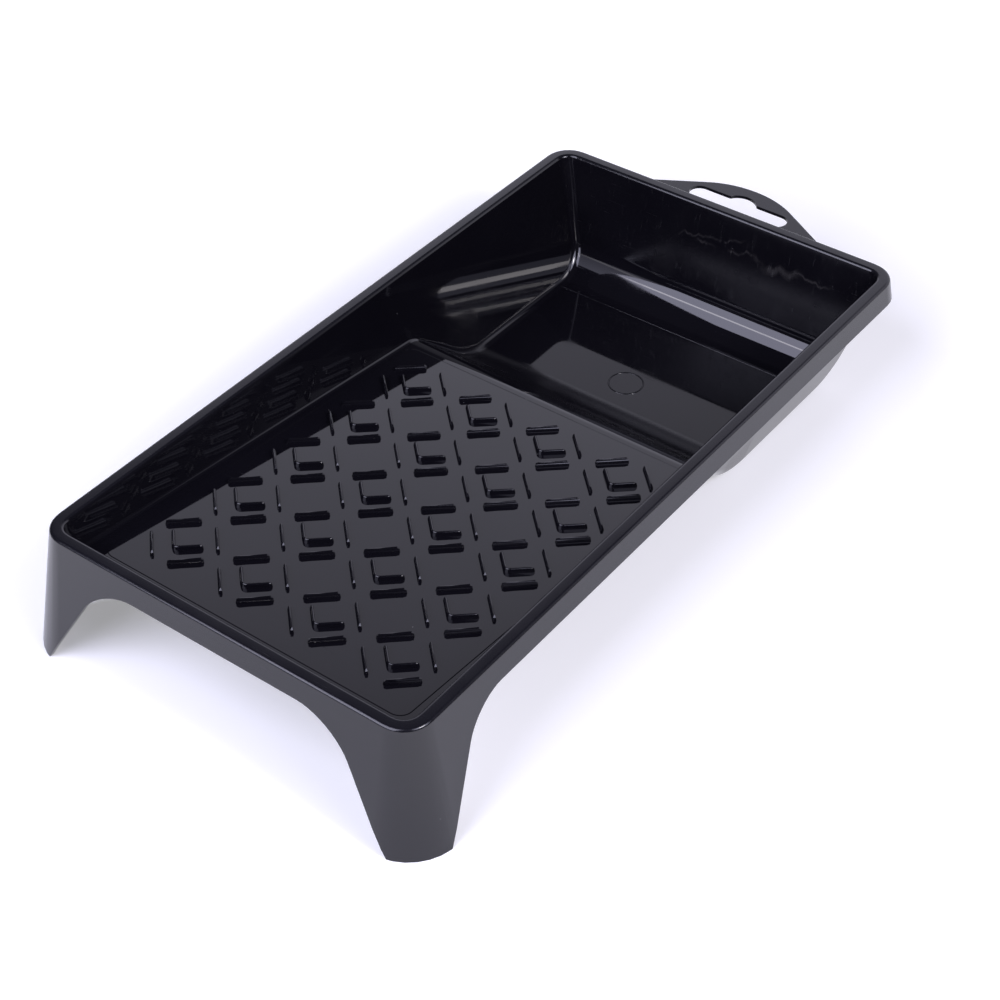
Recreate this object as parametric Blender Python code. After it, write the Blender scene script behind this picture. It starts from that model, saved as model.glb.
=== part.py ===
"""Mini paint roller tray: a one-piece black plastic moulding, modelled as its named regions.

Metres, +Z up. X runs across the tray and Y along it: the two legs are at -Y, the paint well and the
hanging tab at +Y. The regions are drawn with the origin in the middle of the rim's top, then moved so
that it lies on the floor under the middle of the whole tray.
"""

import math

import bmesh
import bpy
from mathutils import Vector

for leftover in list(bpy.data.objects):
    bpy.data.objects.remove(leftover, do_unlink=True)

# Driving dimensions
WIDTH = 0.150  # across the rim, outer edge to outer edge
LENGTH = 0.284  # along the rim, outer edge to outer edge
HEIGHT = 0.0473  # floor to rim top
WALL = 0.0018  # moulded wall thickness
DRAFT = math.radians(10.5)  # lean of the skirt, the legs and the end walls
SIDE_DRAFT = math.radians(16)  # the inside walls on the left and right lean more
GAP = 0.0002  # parting between neighbouring regions

RIM_WIDTH = 0.0047
RIM_RADIUS = 0.0015  # rounding of both rim edges
CORNER_RADIUS = 0.010  # plan radius of the rim's outer edge
SKIRT_DEPTH = 0.0081  # rim top to the lower edge of the skirt

RAMP_DROP = 0.0105  # ramp plane below the rim top, under the rim's front edge
RAMP_ANGLE = math.radians(4.68)
STEP_ANGLE = math.radians(41)  # slope from the ramp down into the well
STEP_CREST_Y = 0.0320  # where the ramp plane and that slope would meet
STEP_CREST_RADIUS = 0.011
STEP_FOOT_RADIUS = 0.027
RAMP_FILLET = 0.002  # walls to ramp
WELL_SIDE_FILLET = 0.005
WELL_BACK_FILLET = 0.015
WELL_CORNER_RADIUS = 0.0025  # plan radius of the well floor's back corners

RIB_PITCH = 0.0293  # one motif of four straight ribs round an angle rib
RIB_ROWS = 5
RIB_COLUMNS = 4
RIB_CENTRE_Y = -0.0509
RIB_LENGTH = 0.0115
RIB_THICKNESS = 0.0013
RIB_HEIGHT = 0.0017
RIB_ANGLE_CORNER = 0.0035  # angle rib's corner, off the motif's centre in both rib directions
RIB_ANGLE_REACH = 0.0058  # angle rib's ends, off that centre
RIB_ANGLE_RADIUS = 0.0016  # bend of the angle rib, on its centre line
RIB_LEVELS = ((0.55, 0.94, 0.0001), (1, 0.46, 0.0009))  # shares of height and thickness, and draw-in of the ends

LEG_FRONT_TOP = 0.0469  # leg edge on the front face, at skirt depth, from the middle
LEG_FRONT_SLOPE = 0.595
LEG_FRONT_BLEND = 0.024
LEG_SIDE_TOP = 0.1132  # leg edge on the side face, at skirt depth, from the middle
LEG_SIDE_SLOPE = 0.557
LEG_SIDE_BLEND = 0.020
FOOT_FRONT_ANGLE = math.radians(16)  # where the foot's arc starts and ends on the corner
FOOT_SIDE_ANGLE = math.radians(80.5)

TAB_TOP_DROP = 0.0057  # tab top below the rim top
TAB_THICKNESS = 0.0012
TAB_REACH = 0.1649  # tab's far end, from the middle
TAB_ARC_RADIUS = 0.037
TAB_FLANK_ANGLE = math.radians(31)
SLOT_HALF_LENGTH = 0.0213
SLOT_HALF_HEIGHT = 0.0042
SLOT_CENTRE_Y = 0.1523
SLOT_HUMP_RADIUS = 0.007
SLOT_HUMP_Y = 0.1527

ARC_STEPS = 5  # steps in half a plan corner
FILLET_STEPS = 4

# Sizes worked out from those above
LEAN = math.tan(DRAFT)
SIDE_LEAN = math.tan(SIDE_DRAFT)
ARC_X = WIDTH / 2 - CORNER_RADIUS  # centres of the rim's plan corners
ARC_Y = LENGTH / 2 - CORNER_RADIUS
INNER_X = WIDTH / 2 - RIM_WIDTH
INNER_Y = LENGTH / 2 - RIM_WIDTH
INNER_RADIUS = CORNER_RADIUS - RIM_WIDTH
RIM_BASE = WALL  # depth of the rim cap's underside
SKIN = WALL / math.cos(DRAFT)  # horizontal thickness of a leaning sheet
RAMP_SLOPE = -math.tan(RAMP_ANGLE)
STEP_SLOPE = -math.tan(STEP_ANGLE)
WELL_Z = WALL - HEIGHT  # inside of the well floor, from the rim top
FILLET_REACH = 1 / math.tan((math.pi / 2 + DRAFT) / 2)  # tangent length for a fillet of radius 1
SIDE_REACH = 1 / math.tan((math.pi / 2 + SIDE_DRAFT) / 2)
FOOT_RADIUS = CORNER_RADIUS + HEIGHT * LEAN  # the leaning corner's plan radius at the floor
FOOT_FRONT_Y = -ARC_Y - FOOT_RADIUS * math.cos(FOOT_FRONT_ANGLE)
CENTRE_Y = (TAB_REACH + FOOT_FRONT_Y) / 2  # middle of the tray with its feet and tab
FRONT_DEPTH = (RAMP_DROP - RAMP_SLOPE * RIM_WIDTH) / (1 + RAMP_SLOPE * LEAN)
WELL_DEPTH = -WELL_Z


def ramp_z(y):
    return -RAMP_DROP + RAMP_SLOPE * (y + LENGTH / 2)


CREST_Z = ramp_z(STEP_CREST_Y)
STEP_FOOT_Y = STEP_CREST_Y + (WELL_Z - CREST_Z) / STEP_SLOPE
CREST_REACH = STEP_CREST_RADIUS * math.tan((STEP_ANGLE - RAMP_ANGLE) / 2)
FOOT_REACH = STEP_FOOT_RADIUS * math.tan(STEP_ANGLE / 2)
RAMP_END_Y = STEP_CREST_Y - CREST_REACH * math.cos(RAMP_ANGLE)
SLOPE_START_Y = STEP_CREST_Y + CREST_REACH * math.cos(STEP_ANGLE)
SLOPE_END_Y = STEP_FOOT_Y - FOOT_REACH * math.cos(STEP_ANGLE)
WELL_START_Y = STEP_FOOT_Y + FOOT_REACH


def floor_z(y):
    """Height of the inside floor below the rim top, along the tray."""
    if y <= RAMP_END_Y:
        return ramp_z(y)
    if y < SLOPE_START_Y:
        centre_y = RAMP_END_Y - STEP_CREST_RADIUS * math.sin(RAMP_ANGLE)
        centre_z = ramp_z(RAMP_END_Y) - STEP_CREST_RADIUS * math.cos(RAMP_ANGLE)
        return centre_z + math.sqrt(max(STEP_CREST_RADIUS**2 - (y - centre_y) ** 2, 0))
    if y <= SLOPE_END_Y:
        return CREST_Z + STEP_SLOPE * (y - STEP_CREST_Y)
    if y < WELL_START_Y:
        return WELL_Z + STEP_FOOT_RADIUS - math.sqrt(STEP_FOOT_RADIUS**2 - (y - WELL_START_Y) ** 2)
    return WELL_Z


def floor_normal(y):
    step = 1e-5
    slope = (floor_z(y + step) - floor_z(y - step)) / (2 * step)
    return Vector((0, -slope, 1)).normalized()


def side_fillet(y):
    """Fillet radius between a side wall and the floor: small on the ramp, larger in the well."""
    share = min(max((y - RAMP_END_Y) / (WELL_START_Y - RAMP_END_Y), 0), 1)
    return RAMP_FILLET + (WELL_SIDE_FILLET - RAMP_FILLET) * share


def material(name, colour, roughness):
    made = bpy.data.materials.new(name)
    made.use_nodes = True
    shader = made.node_tree.nodes["Principled BSDF"]
    shader.inputs["Base Color"].default_value = (*colour, 1)
    shader.inputs["Roughness"].default_value = roughness
    shader.inputs["Metallic"].default_value = 0
    return made


GLOSS_BLACK = (0.012, 0.012, 0.014)
SATIN_BLACK = (0.022, 0.022, 0.026)


def add_node(name, shape, colour, roughness):
    """Puts a finished shape in the scene, moved from the rim's top to the tray's own origin."""
    bmesh.ops.recalc_face_normals(shape, faces=shape.faces)
    bmesh.ops.translate(shape, vec=(0, -CENTRE_Y, HEIGHT), verts=shape.verts)
    mesh = bpy.data.meshes.new(name)
    shape.to_mesh(mesh)
    shape.free()
    mesh.shade_smooth()
    mesh.set_sharp_from_angle(angle=math.radians(35))
    mesh.materials.append(material(name, colour, roughness))
    node = bpy.data.objects.new(name, mesh)
    bpy.context.scene.collection.objects.link(node)
    return node


def loft(sections):
    """A closed solid through closed sections with equal point counts, capped at both ends."""
    shape = bmesh.new()
    rings = [[shape.verts.new(point) for point in section] for section in sections]
    count = len(rings[0])
    for near, far in zip(rings, rings[1:]):
        for i in range(count):
            j = (i + 1) % count
            shape.faces.new((near[i], near[j], far[j], far[i]))
    shape.faces.new(rings[0])
    shape.faces.new(rings[-1])
    return shape


def sheet(columns):
    """A sheet with thickness. Each column pairs a face point with its back point, from top to bottom."""
    shape = bmesh.new()
    grid = [[[shape.verts.new(point) for point in pair] for pair in column] for column in columns]
    for near, far in zip(grid, grid[1:]):
        for (a, back_a), (b, back_b), (c, back_c), (d, back_d) in zip(near, near[1:], far[1:], far):
            shape.faces.new((a, b, c, d))
            shape.faces.new((back_d, back_c, back_b, back_a))
        for end in (0, -1):
            shape.faces.new((*near[end], *reversed(far[end])))
    for column in (grid[0], grid[-1]):
        for upper, lower in zip(column, column[1:]):
            shape.faces.new((*upper, *reversed(lower)))
    return shape


def slab(outline, thickness):
    """A flat-sided plate below a closed outline; thickness is the vector from its top to its underside."""
    return loft([outline, [point + thickness for point in outline]])


def arc(centre, radius, start, end, steps):
    angles = [start + (end - start) * i / steps for i in range(steps + 1)]
    return [(centre[0] + radius * math.cos(a), centre[1] + radius * math.sin(a)) for a in angles]


# Plan corners, in degrees round the tray: front right 315, back right 45, back left 135, front left 225
SIDES = {"front": 270, "right": 0, "back": 90, "left": 180}
CORNER_TRIM = GAP / 2 / INNER_RADIUS


def half_corners(side):
    """Angles of the half corner before a side and of the half corner after it."""
    middle = math.radians(SIDES[side])
    eighth = math.pi / 4 - CORNER_TRIM
    before = [middle - eighth * (1 - i / ARC_STEPS) for i in range(ARC_STEPS + 1)]
    after = [middle + eighth * i / ARC_STEPS for i in range(ARC_STEPS + 1)]
    return before, after


def direction(angle):
    return Vector((math.cos(angle), math.sin(angle), 0))


def corner_signs(angle):
    """Which corner a plan angle belongs to, as the signs of X and Y there."""
    quarter = int(math.degrees(angle) % 360 // 90)
    return ((1, 1), (-1, 1), (-1, -1), (1, -1))[quarter]


def perimeter(side, outset, depth):
    """Points along one side of the rim's outer edge, moved outwards and down."""
    points = []
    middle = math.radians(SIDES[side])
    before, after = half_corners(side)
    for angles, inside in ((before, middle - 0.1), (after, middle + 0.1)):
        x_sign, y_sign = corner_signs(inside)
        centre = Vector((x_sign * ARC_X, y_sign * ARC_Y, -depth))
        points += [centre + direction(a) * (CORNER_RADIUS + outset) for a in angles]
    return points


# Rim: a cap with rounded edges, in four lengths mitred at the corners

def rim_section():
    """Outset from the rim's outer edge and depth, round the cap's section."""
    reach = RIM_RADIUS * FILLET_REACH
    inner_centre = -RIM_WIDTH + reach
    outer_centre = -reach
    lean_angle = math.pi / 2 - DRAFT
    section = [(-RIM_WIDTH - RIM_BASE * LEAN, RIM_BASE)]
    for i in range(FILLET_STEPS + 1):
        turn = lean_angle * (1 - i / FILLET_STEPS)
        section.append((inner_centre - RIM_RADIUS * math.sin(turn), RIM_RADIUS * (1 - math.cos(turn))))
    for i in range(FILLET_STEPS + 1):
        turn = lean_angle * i / FILLET_STEPS
        section.append((outer_centre + RIM_RADIUS * math.sin(turn), RIM_RADIUS * (1 - math.cos(turn))))
    section.append((RIM_BASE * LEAN, RIM_BASE))
    return section


def make_rims():
    section = rim_section()
    for side in SIDES:
        rings = zip(*[perimeter(side, outset, depth) for outset, depth in section])
        add_node(f"{side}_rim", loft([list(ring) for ring in rings]), SATIN_BLACK, 0.42)


# Inside walls: each leans inwards and rounds into the floor

def wall_column(outward, top, base, up, fillet_reach, floor_point, normal, draft=DRAFT):
    """Face and back points down one line of a wall, from under the rim to the end of its fillet."""
    leaning = (outward * math.cos(draft) - Vector((0, 0, math.sin(draft)))) * WALL
    weight = math.cos((math.pi / 2 - draft) / 2)  # makes the fillet's conic a true arc
    tangent = base + up.normalized() * fillet_reach
    back_base = base + outward * WALL * (math.cos(draft) - math.tan(draft) * (1 - math.sin(draft)))
    back_base -= Vector((0, 0, WALL))
    column = [(top, top + outward * WALL / math.cos(draft)), (tangent, tangent + leaning)]
    ends = ((tangent, base, floor_point), (tangent + leaning, back_base, floor_point - normal * WALL))
    for i in range(1, FILLET_STEPS + 1):
        u = i / FILLET_STEPS
        near, middle, far = (1 - u) ** 2, 2 * u * (1 - u) * weight, u**2
        face, back = [(a * near + b * middle + c * far) / (near + middle + far) for a, b, c in ends]
        column.append((face, back))
    return column


def side_column(sign, y, top_y):
    """A wall column on the left or right side, where it meets the floor at y."""
    outward = Vector((sign, 0, 0))
    z = floor_z(y)
    top = Vector((sign * (INNER_X - (RIM_BASE + GAP) * SIDE_LEAN), top_y, -RIM_BASE - GAP))
    base = Vector((sign * (INNER_X + z * SIDE_LEAN), y, z))
    reach = side_fillet(y) * SIDE_REACH
    up = Vector((sign * SIDE_LEAN, 0, 1))
    return wall_column(outward, top, base, up, reach, base - outward * reach, floor_normal(y), SIDE_DRAFT)


def front_column(x, top_x):
    outward = Vector((0, -1, 0))
    top = Vector((top_x, -INNER_Y + (RIM_BASE + GAP) * LEAN, -RIM_BASE - GAP))
    base = Vector((x, -INNER_Y + FRONT_DEPTH * LEAN, -FRONT_DEPTH))
    reach = RAMP_FILLET * FILLET_REACH
    along = Vector((0, 1, RAMP_SLOPE)).normalized()
    up = Vector((0, -LEAN, 1))
    return wall_column(outward, top, base, up, reach, base + along * reach, floor_normal(base.y))


def back_column(x, top_x):
    outward = Vector((0, 1, 0))
    top = Vector((top_x, INNER_Y - (RIM_BASE + GAP) * LEAN, -RIM_BASE - GAP))
    base = Vector((x, INNER_Y - WELL_DEPTH * LEAN, WELL_Z))
    reach = WELL_BACK_FILLET * FILLET_REACH
    up = Vector((0, LEAN, 1))
    return wall_column(outward, top, base, up, reach, base - outward * reach, Vector((0, 0, 1)))


def corner_column(angle, signs):
    """A wall column in a rounded corner. The corner keeps its radius all the way down."""
    outward = direction(angle)
    up = Vector((signs[0] * SIDE_LEAN, signs[1] * LEAN, 1))
    draft = DRAFT + (SIDE_DRAFT - DRAFT) * math.cos(angle) ** 2

    def centre(depth):
        x = INNER_X - INNER_RADIUS - depth * SIDE_LEAN
        y = INNER_Y - INNER_RADIUS - depth * LEAN
        return Vector((signs[0] * x, signs[1] * y, -depth))

    top = centre(RIM_BASE + GAP) + outward * INNER_RADIUS
    if signs[1] < 0:
        base = centre(FRONT_DEPTH) + outward * INNER_RADIUS
        base.z = ramp_z(base.y)
        reach = RAMP_FILLET * FILLET_REACH
        end = base - outward * reach
        end.z = ramp_z(end.y)
    else:
        base = centre(WELL_DEPTH) + outward * INNER_RADIUS
        share = math.sin(angle) ** 2
        radius = WELL_SIDE_FILLET + (WELL_BACK_FILLET - WELL_SIDE_FILLET) * share
        reach = radius * FILLET_REACH
        end = well_corner_centre(signs[0]) + outward * WELL_CORNER_RADIUS
    return wall_column(outward, top, base, up, reach, end, floor_normal(end.y), draft)


def well_corner_centre(sign):
    side = INNER_X - WELL_DEPTH * SIDE_LEAN - WELL_SIDE_FILLET * SIDE_REACH - WELL_CORNER_RADIUS
    back = INNER_Y - WELL_DEPTH * LEAN - WELL_BACK_FILLET * FILLET_REACH - WELL_CORNER_RADIUS
    return Vector((sign * side, back, WELL_Z))


# The side walls' straight stretch between the corners, at the floor and at the top
STRAIGHT_FRONT = -(INNER_Y - FRONT_DEPTH * LEAN - INNER_RADIUS)
STRAIGHT_BACK = INNER_Y - WELL_DEPTH * LEAN - INNER_RADIUS
TOP_STRAIGHT = INNER_Y - (RIM_BASE + GAP) * LEAN - INNER_RADIUS


def spread(start, end, steps):
    return [start + (end - start) * i / steps for i in range(steps + 1)]


def step_stations():
    """Places along the tray that follow the curves between the ramp and the well."""
    crest = spread(RAMP_END_Y, SLOPE_START_Y, 4)
    foot = spread(SLOPE_END_Y, WELL_START_Y, 6)
    return crest + foot


def side_columns(sign):
    stations = [STRAIGHT_FRONT] + step_stations() + [STRAIGHT_BACK]
    columns = []
    for y in stations:
        share = (y - STRAIGHT_FRONT) / (STRAIGHT_BACK - STRAIGHT_FRONT)
        columns.append(side_column(sign, y, -TOP_STRAIGHT + 2 * TOP_STRAIGHT * share))
    return columns if sign > 0 else columns[::-1]


def end_columns(column, depth, order):
    straight = INNER_X - depth * SIDE_LEAN - INNER_RADIUS
    top_straight = INNER_X - (RIM_BASE + GAP) * SIDE_LEAN - INNER_RADIUS
    return [column(end * straight, end * top_straight) for end in (-order, order)]


def make_walls():
    straights = {
        "front": end_columns(front_column, FRONT_DEPTH, 1),
        "right": side_columns(1),
        "back": end_columns(back_column, WELL_DEPTH, -1),
        "left": side_columns(-1),
    }
    for side, straight in straights.items():
        before, after = half_corners(side)
        middle = math.radians(SIDES[side])
        start = [corner_column(a, corner_signs(middle - 0.1)) for a in before[:-1]]
        end = [corner_column(a, corner_signs(middle + 0.1)) for a in after[1:]]
        add_node(f"{side}_wall", sheet(start + straight + end), GLOSS_BLACK, 0.12)


# Floor: the ribbed ramp, the slope down from it and the well's flat floor

def floor_edge(y):
    """Half the floor's width at y, clear of the side walls' fillets."""
    return INNER_X + floor_z(y) * SIDE_LEAN - side_fillet(y) * SIDE_REACH - GAP


def ramp_outline():
    end = RAMP_END_Y - GAP / 2
    outline = [Vector((floor_edge(end), end, 0))]
    corner_x = INNER_X - INNER_RADIUS - FRONT_DEPTH * SIDE_LEAN
    corner_y = INNER_Y - INNER_RADIUS - FRONT_DEPTH * LEAN
    radius = INNER_RADIUS - RAMP_FILLET * FILLET_REACH - GAP
    for sign, start, stop in ((1, 0, -90), (-1, 270, 180)):
        centre = (sign * corner_x, -corner_y)
        bend = arc(centre, radius, math.radians(start), math.radians(stop), 6)
        outline += [Vector((x, y, 0)) for x, y in bend]
    outline.append(Vector((-floor_edge(end), end, 0)))
    for point in outline:
        point.z = ramp_z(point.y)
    return outline


def rib_outline(path, half):
    """Outline with blunt round ends, at a distance of half from a centre line of points."""
    right, left = [], []
    for i, point in enumerate(path):
        ahead = path[min(i + 1, len(path) - 1)] - path[max(i - 1, 0)]
        across = Vector((-ahead.y, ahead.x)).normalized() * half
        right.append(point - across)
        left.append(point + across)
    return right + rib_end(path[-1], path[-2], half) + left[::-1] + rib_end(path[0], path[1], half)


def rib_end(end, inner, half):
    heading = math.atan2(end.y - inner.y, end.x - inner.x)
    angles = spread(heading - 0.9, heading + 0.9, 2)
    return [end + Vector((math.cos(a), math.sin(a))) * half for a in angles]


def rib_paths():
    """Centre lines on the ramp, in the two rib directions at 45 degrees to the tray."""
    half = RIB_LENGTH / 2 - RIB_THICKNESS / 2
    quarter = RIB_PITCH / 4
    along = Vector((1, 1)).normalized()
    across = Vector((-1, 1)).normalized()
    corner, reach, bend = RIB_ANGLE_CORNER, RIB_ANGLE_REACH - RIB_THICKNESS / 2, RIB_ANGLE_RADIUS
    bend_points = arc((bend - corner, bend - corner), bend, math.radians(180), math.radians(270), 3)
    angle_line = [(-corner, reach)] + bend_points + [(reach, -corner)]
    straight_ribs = ((1, -1, along), (-1, 1, along), (-1, -1, across), (1, 1, across))
    paths = []
    for row in range(RIB_ROWS):
        for column in range(RIB_COLUMNS):
            x = (column - (RIB_COLUMNS - 1) / 2) * RIB_PITCH
            centre = Vector((x, (row - (RIB_ROWS - 1) / 2) * RIB_PITCH))
            for x_side, y_side, heading in straight_ribs:
                middle = centre + Vector((x_side, y_side)) * quarter
                paths.append([middle - heading * half, middle + heading * half])
            paths.append([centre + along * a + across * b for a, b in angle_line])
    return paths


def ramp_point(point, height):
    """A place on the ramp, given across it and along its slope from the rib pattern's centre."""
    y = RIB_CENTRE_Y + point.y * math.cos(RAMP_ANGLE)
    return Vector((point.x, y, ramp_z(y))) + floor_normal(0) * height


def drawn_in(path, amount):
    """A centre line with both ends pulled in."""
    first = path[0] + (path[1] - path[0]).normalized() * amount
    last = path[-1] + (path[-2] - path[-1]).normalized() * amount
    return [first] + path[1:-1] + [last]


def make_ribs():
    """All the ribs as one helper, rooted below the ramp's surface and rounded off towards their tops."""
    shape = bmesh.new()
    for path in rib_paths():
        rings = [[shape.verts.new(ramp_point(point, -WALL / 3)) for point in rib_outline(path, RIB_THICKNESS / 2)]]
        for height, thickness, draw in RIB_LEVELS:
            ring = rib_outline(drawn_in(path, draw), RIB_THICKNESS / 2 * thickness)
            rings.append([shape.verts.new(ramp_point(point, RIB_HEIGHT * height)) for point in ring])
        for low, high in zip(rings, rings[1:]):
            for i in range(len(low)):
                j = (i + 1) % len(low)
                shape.faces.new((low[i], low[j], high[j], high[i]))
        shape.faces.new(rings[0])
        shape.faces.new(rings[-1])
    ribs = add_node("ramp_ribs", shape, GLOSS_BLACK, 0.12)
    ribs.hide_render = True
    ribs.display_type = "WIRE"
    return ribs


def make_floor():
    ramp = add_node("ramp_panel", slab(ramp_outline(), -floor_normal(0) * WALL), GLOSS_BLACK, 0.12)
    join = ramp.modifiers.new("ribs", "BOOLEAN")
    join.operation = "UNION"
    join.solver = "EXACT"
    join.object = make_ribs()

    sections = []
    for y in [RAMP_END_Y + GAP / 2] + step_stations()[1:-1] + [WELL_START_Y - GAP / 2]:
        top = [Vector((sign * floor_edge(y), y, floor_z(y))) for sign in (-1, 1)]
        down = floor_normal(y) * WALL
        sections.append([top[0], top[1], top[1] - down, top[0] - down])
    add_node("well_step", loft(sections), GLOSS_BLACK, 0.12)

    start = WELL_START_Y + GAP / 2
    outline = [Vector((floor_edge(start), start, WELL_Z))]
    for sign, begin, stop in ((1, 0, 90), (-1, 90, 180)):
        centre = well_corner_centre(sign)
        ring = arc(centre, WELL_CORNER_RADIUS - GAP, math.radians(begin), math.radians(stop), 5)
        outline += [Vector((x, y, WELL_Z)) for x, y in ring]
    outline.append(Vector((-floor_edge(start), start, WELL_Z)))
    add_node("well_floor", slab(outline, Vector((0, 0, -WALL))), GLOSS_BLACK, 0.12)


# Skirt round the rim, and the two legs that grow out of it at the front corners

def skirt_pair(point, outward, depth):
    """A point on the leaning outer face at a depth, with the point behind it on the inner face."""
    face = point + outward * depth * LEAN - Vector((0, 0, depth))
    return face, face - outward * SKIN


def skirt_column(point, outward, low):
    return [skirt_pair(point, outward, RIM_BASE + GAP), skirt_pair(point, outward, low)]


def blend_profile(top, slope, radius, steps):
    """Distance from the middle and depth along a leg's edge, from the skirt's edge round the blend."""
    turn = math.atan2(1, slope)
    start = top - radius * math.tan(turn / 2)
    angles = spread(0, turn, steps)
    return [(start + radius * math.sin(a), SKIRT_DEPTH + radius * (1 - math.cos(a))) for a in angles]


FRONT_BLEND = blend_profile(LEG_FRONT_TOP, LEG_FRONT_SLOPE, LEG_FRONT_BLEND, 6)
SIDE_BLEND = blend_profile(LEG_SIDE_TOP, LEG_SIDE_SLOPE, LEG_SIDE_BLEND, 6)


def leg_columns():
    """The right leg, from the front face round the corner to the side face."""
    front, side = Vector((0, -1, 0)), Vector((1, 0, 0))
    columns = [skirt_column(Vector((x, -LENGTH / 2, 0)), front, low) for x, low in FRONT_BLEND]
    front_low = SKIRT_DEPTH + (ARC_X - LEG_FRONT_TOP) / LEG_FRONT_SLOPE
    side_low = SKIRT_DEPTH + (ARC_Y - LEG_SIDE_TOP) / LEG_SIDE_SLOPE
    lows = [(0, front_low)]
    lows += [(a, HEIGHT) for a in spread(FOOT_FRONT_ANGLE, FOOT_SIDE_ANGLE, 10)]
    lows.append((math.pi / 2, side_low))
    for turn, low in lows:
        outward = direction(turn - math.pi / 2)
        corner = Vector((ARC_X, -ARC_Y, 0)) + outward * CORNER_RADIUS
        columns.append(skirt_column(corner, outward, low))
    for y, low in reversed(SIDE_BLEND):
        columns.append(skirt_column(Vector((WIDTH / 2, -y, 0)), side, low))
    return columns


def mirrored(columns):
    flip = Vector((-1, 1, 1))
    return [[(face * flip, back * flip) for face, back in column] for column in columns]


def make_skirt():
    right_leg = leg_columns()
    add_node("front_right_leg", sheet(right_leg), SATIN_BLACK, 0.45)
    add_node("front_left_leg", sheet(mirrored(right_leg)), SATIN_BLACK, 0.45)

    reach = FRONT_BLEND[0][0] - GAP
    front = Vector((0, -1, 0))
    ends = [skirt_column(Vector((x, -LENGTH / 2, 0)), front, SKIRT_DEPTH) for x in (-reach, reach)]
    add_node("front_skirt", sheet(ends), SATIN_BLACK, 0.45)

    start = -SIDE_BLEND[0][0] + GAP
    right = [skirt_column(Vector((WIDTH / 2, start, 0)), Vector((1, 0, 0)), SKIRT_DEPTH)]
    right += corner_skirt(half_corners("right")[1], (1, 1))
    add_node("right_skirt", sheet(right), SATIN_BLACK, 0.45)
    add_node("left_skirt", sheet(mirrored(right)), SATIN_BLACK, 0.45)

    before, after = half_corners("back")
    back = corner_skirt(before, (1, 1)) + corner_skirt(after, (-1, 1))
    add_node("back_skirt", sheet(back), SATIN_BLACK, 0.45)


def corner_skirt(angles, signs):
    columns = []
    for angle in angles:
        outward = direction(angle)
        point = Vector((signs[0] * ARC_X, signs[1] * ARC_Y, 0)) + outward * CORNER_RADIUS
        columns.append(skirt_column(point, outward, SKIRT_DEPTH))
    return columns


# Hanging tab behind the back skirt, with its hook slot

def slot_outline():
    """A long slot with round ends and a round hump in the middle of its far side."""
    ends = SLOT_HALF_LENGTH - SLOT_HALF_HEIGHT
    top = SLOT_CENTRE_Y + SLOT_HALF_HEIGHT
    rise = math.asin((top - SLOT_HUMP_Y) / SLOT_HUMP_RADIUS)
    quarter = math.pi / 2
    outline = arc((ends, SLOT_CENTRE_Y), SLOT_HALF_HEIGHT, -quarter, quarter, 8)
    outline += arc((0, SLOT_HUMP_Y), SLOT_HUMP_RADIUS, rise, math.pi - rise, 8)
    outline += arc((-ends, SLOT_CENTRE_Y), SLOT_HALF_HEIGHT, quarter, 3 * quarter, 8)
    return outline


def tab_outline():
    """The tab's plan: a straight root, flanks at an angle and a round far end."""
    root = LENGTH / 2 + (TAB_TOP_DROP + TAB_THICKNESS) * LEAN + GAP
    centre = (0, TAB_REACH - TAB_ARC_RADIUS)
    upright = math.pi / 2
    far = arc(centre, TAB_ARC_RADIUS, upright - TAB_FLANK_ANGLE, upright + TAB_FLANK_ANGLE, 14)
    foot = far[0][0] + (far[0][1] - root) / math.tan(TAB_FLANK_ANGLE)
    return [(-foot, root), (foot, root)] + far


def make_tab():
    top = [Vector((x, y, -TAB_TOP_DROP)) for x, y in tab_outline()]
    tab = add_node("hang_tab", slab(top, Vector((0, 0, -TAB_THICKNESS))), SATIN_BLACK, 0.45)
    overshoot = 2 * TAB_THICKNESS
    ring = [Vector((x, y, overshoot - TAB_TOP_DROP)) for x, y in slot_outline()]
    through = Vector((0, 0, -TAB_THICKNESS - 2 * overshoot))
    cutter = add_node("slot_cutter", slab(ring, through), SATIN_BLACK, 0.45)
    cutter.hide_render = True
    cutter.display_type = "WIRE"
    cut = tab.modifiers.new("slot", "BOOLEAN")
    cut.operation = "DIFFERENCE"
    cut.solver = "EXACT"
    cut.object = cutter


make_rims()
make_walls()
make_floor()
make_skirt()
make_tab()
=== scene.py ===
import math

import bmesh
import bpy
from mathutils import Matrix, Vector


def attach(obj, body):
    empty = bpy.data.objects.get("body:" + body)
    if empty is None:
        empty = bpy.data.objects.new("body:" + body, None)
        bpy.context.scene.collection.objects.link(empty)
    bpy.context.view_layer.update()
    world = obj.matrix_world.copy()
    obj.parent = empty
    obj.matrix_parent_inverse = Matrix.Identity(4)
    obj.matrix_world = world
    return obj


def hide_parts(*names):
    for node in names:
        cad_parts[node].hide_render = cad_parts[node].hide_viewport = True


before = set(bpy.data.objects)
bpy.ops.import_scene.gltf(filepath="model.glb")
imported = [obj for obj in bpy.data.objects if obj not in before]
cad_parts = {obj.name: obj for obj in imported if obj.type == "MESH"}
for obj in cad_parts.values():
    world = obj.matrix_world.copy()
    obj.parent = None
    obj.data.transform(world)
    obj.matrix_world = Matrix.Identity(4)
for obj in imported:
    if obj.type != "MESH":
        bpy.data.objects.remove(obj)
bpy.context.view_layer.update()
print("frame loaded:", len(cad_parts), "regions of the moulding")

scene = bpy.context.scene
scene.view_settings.view_transform = "Standard"

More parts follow.
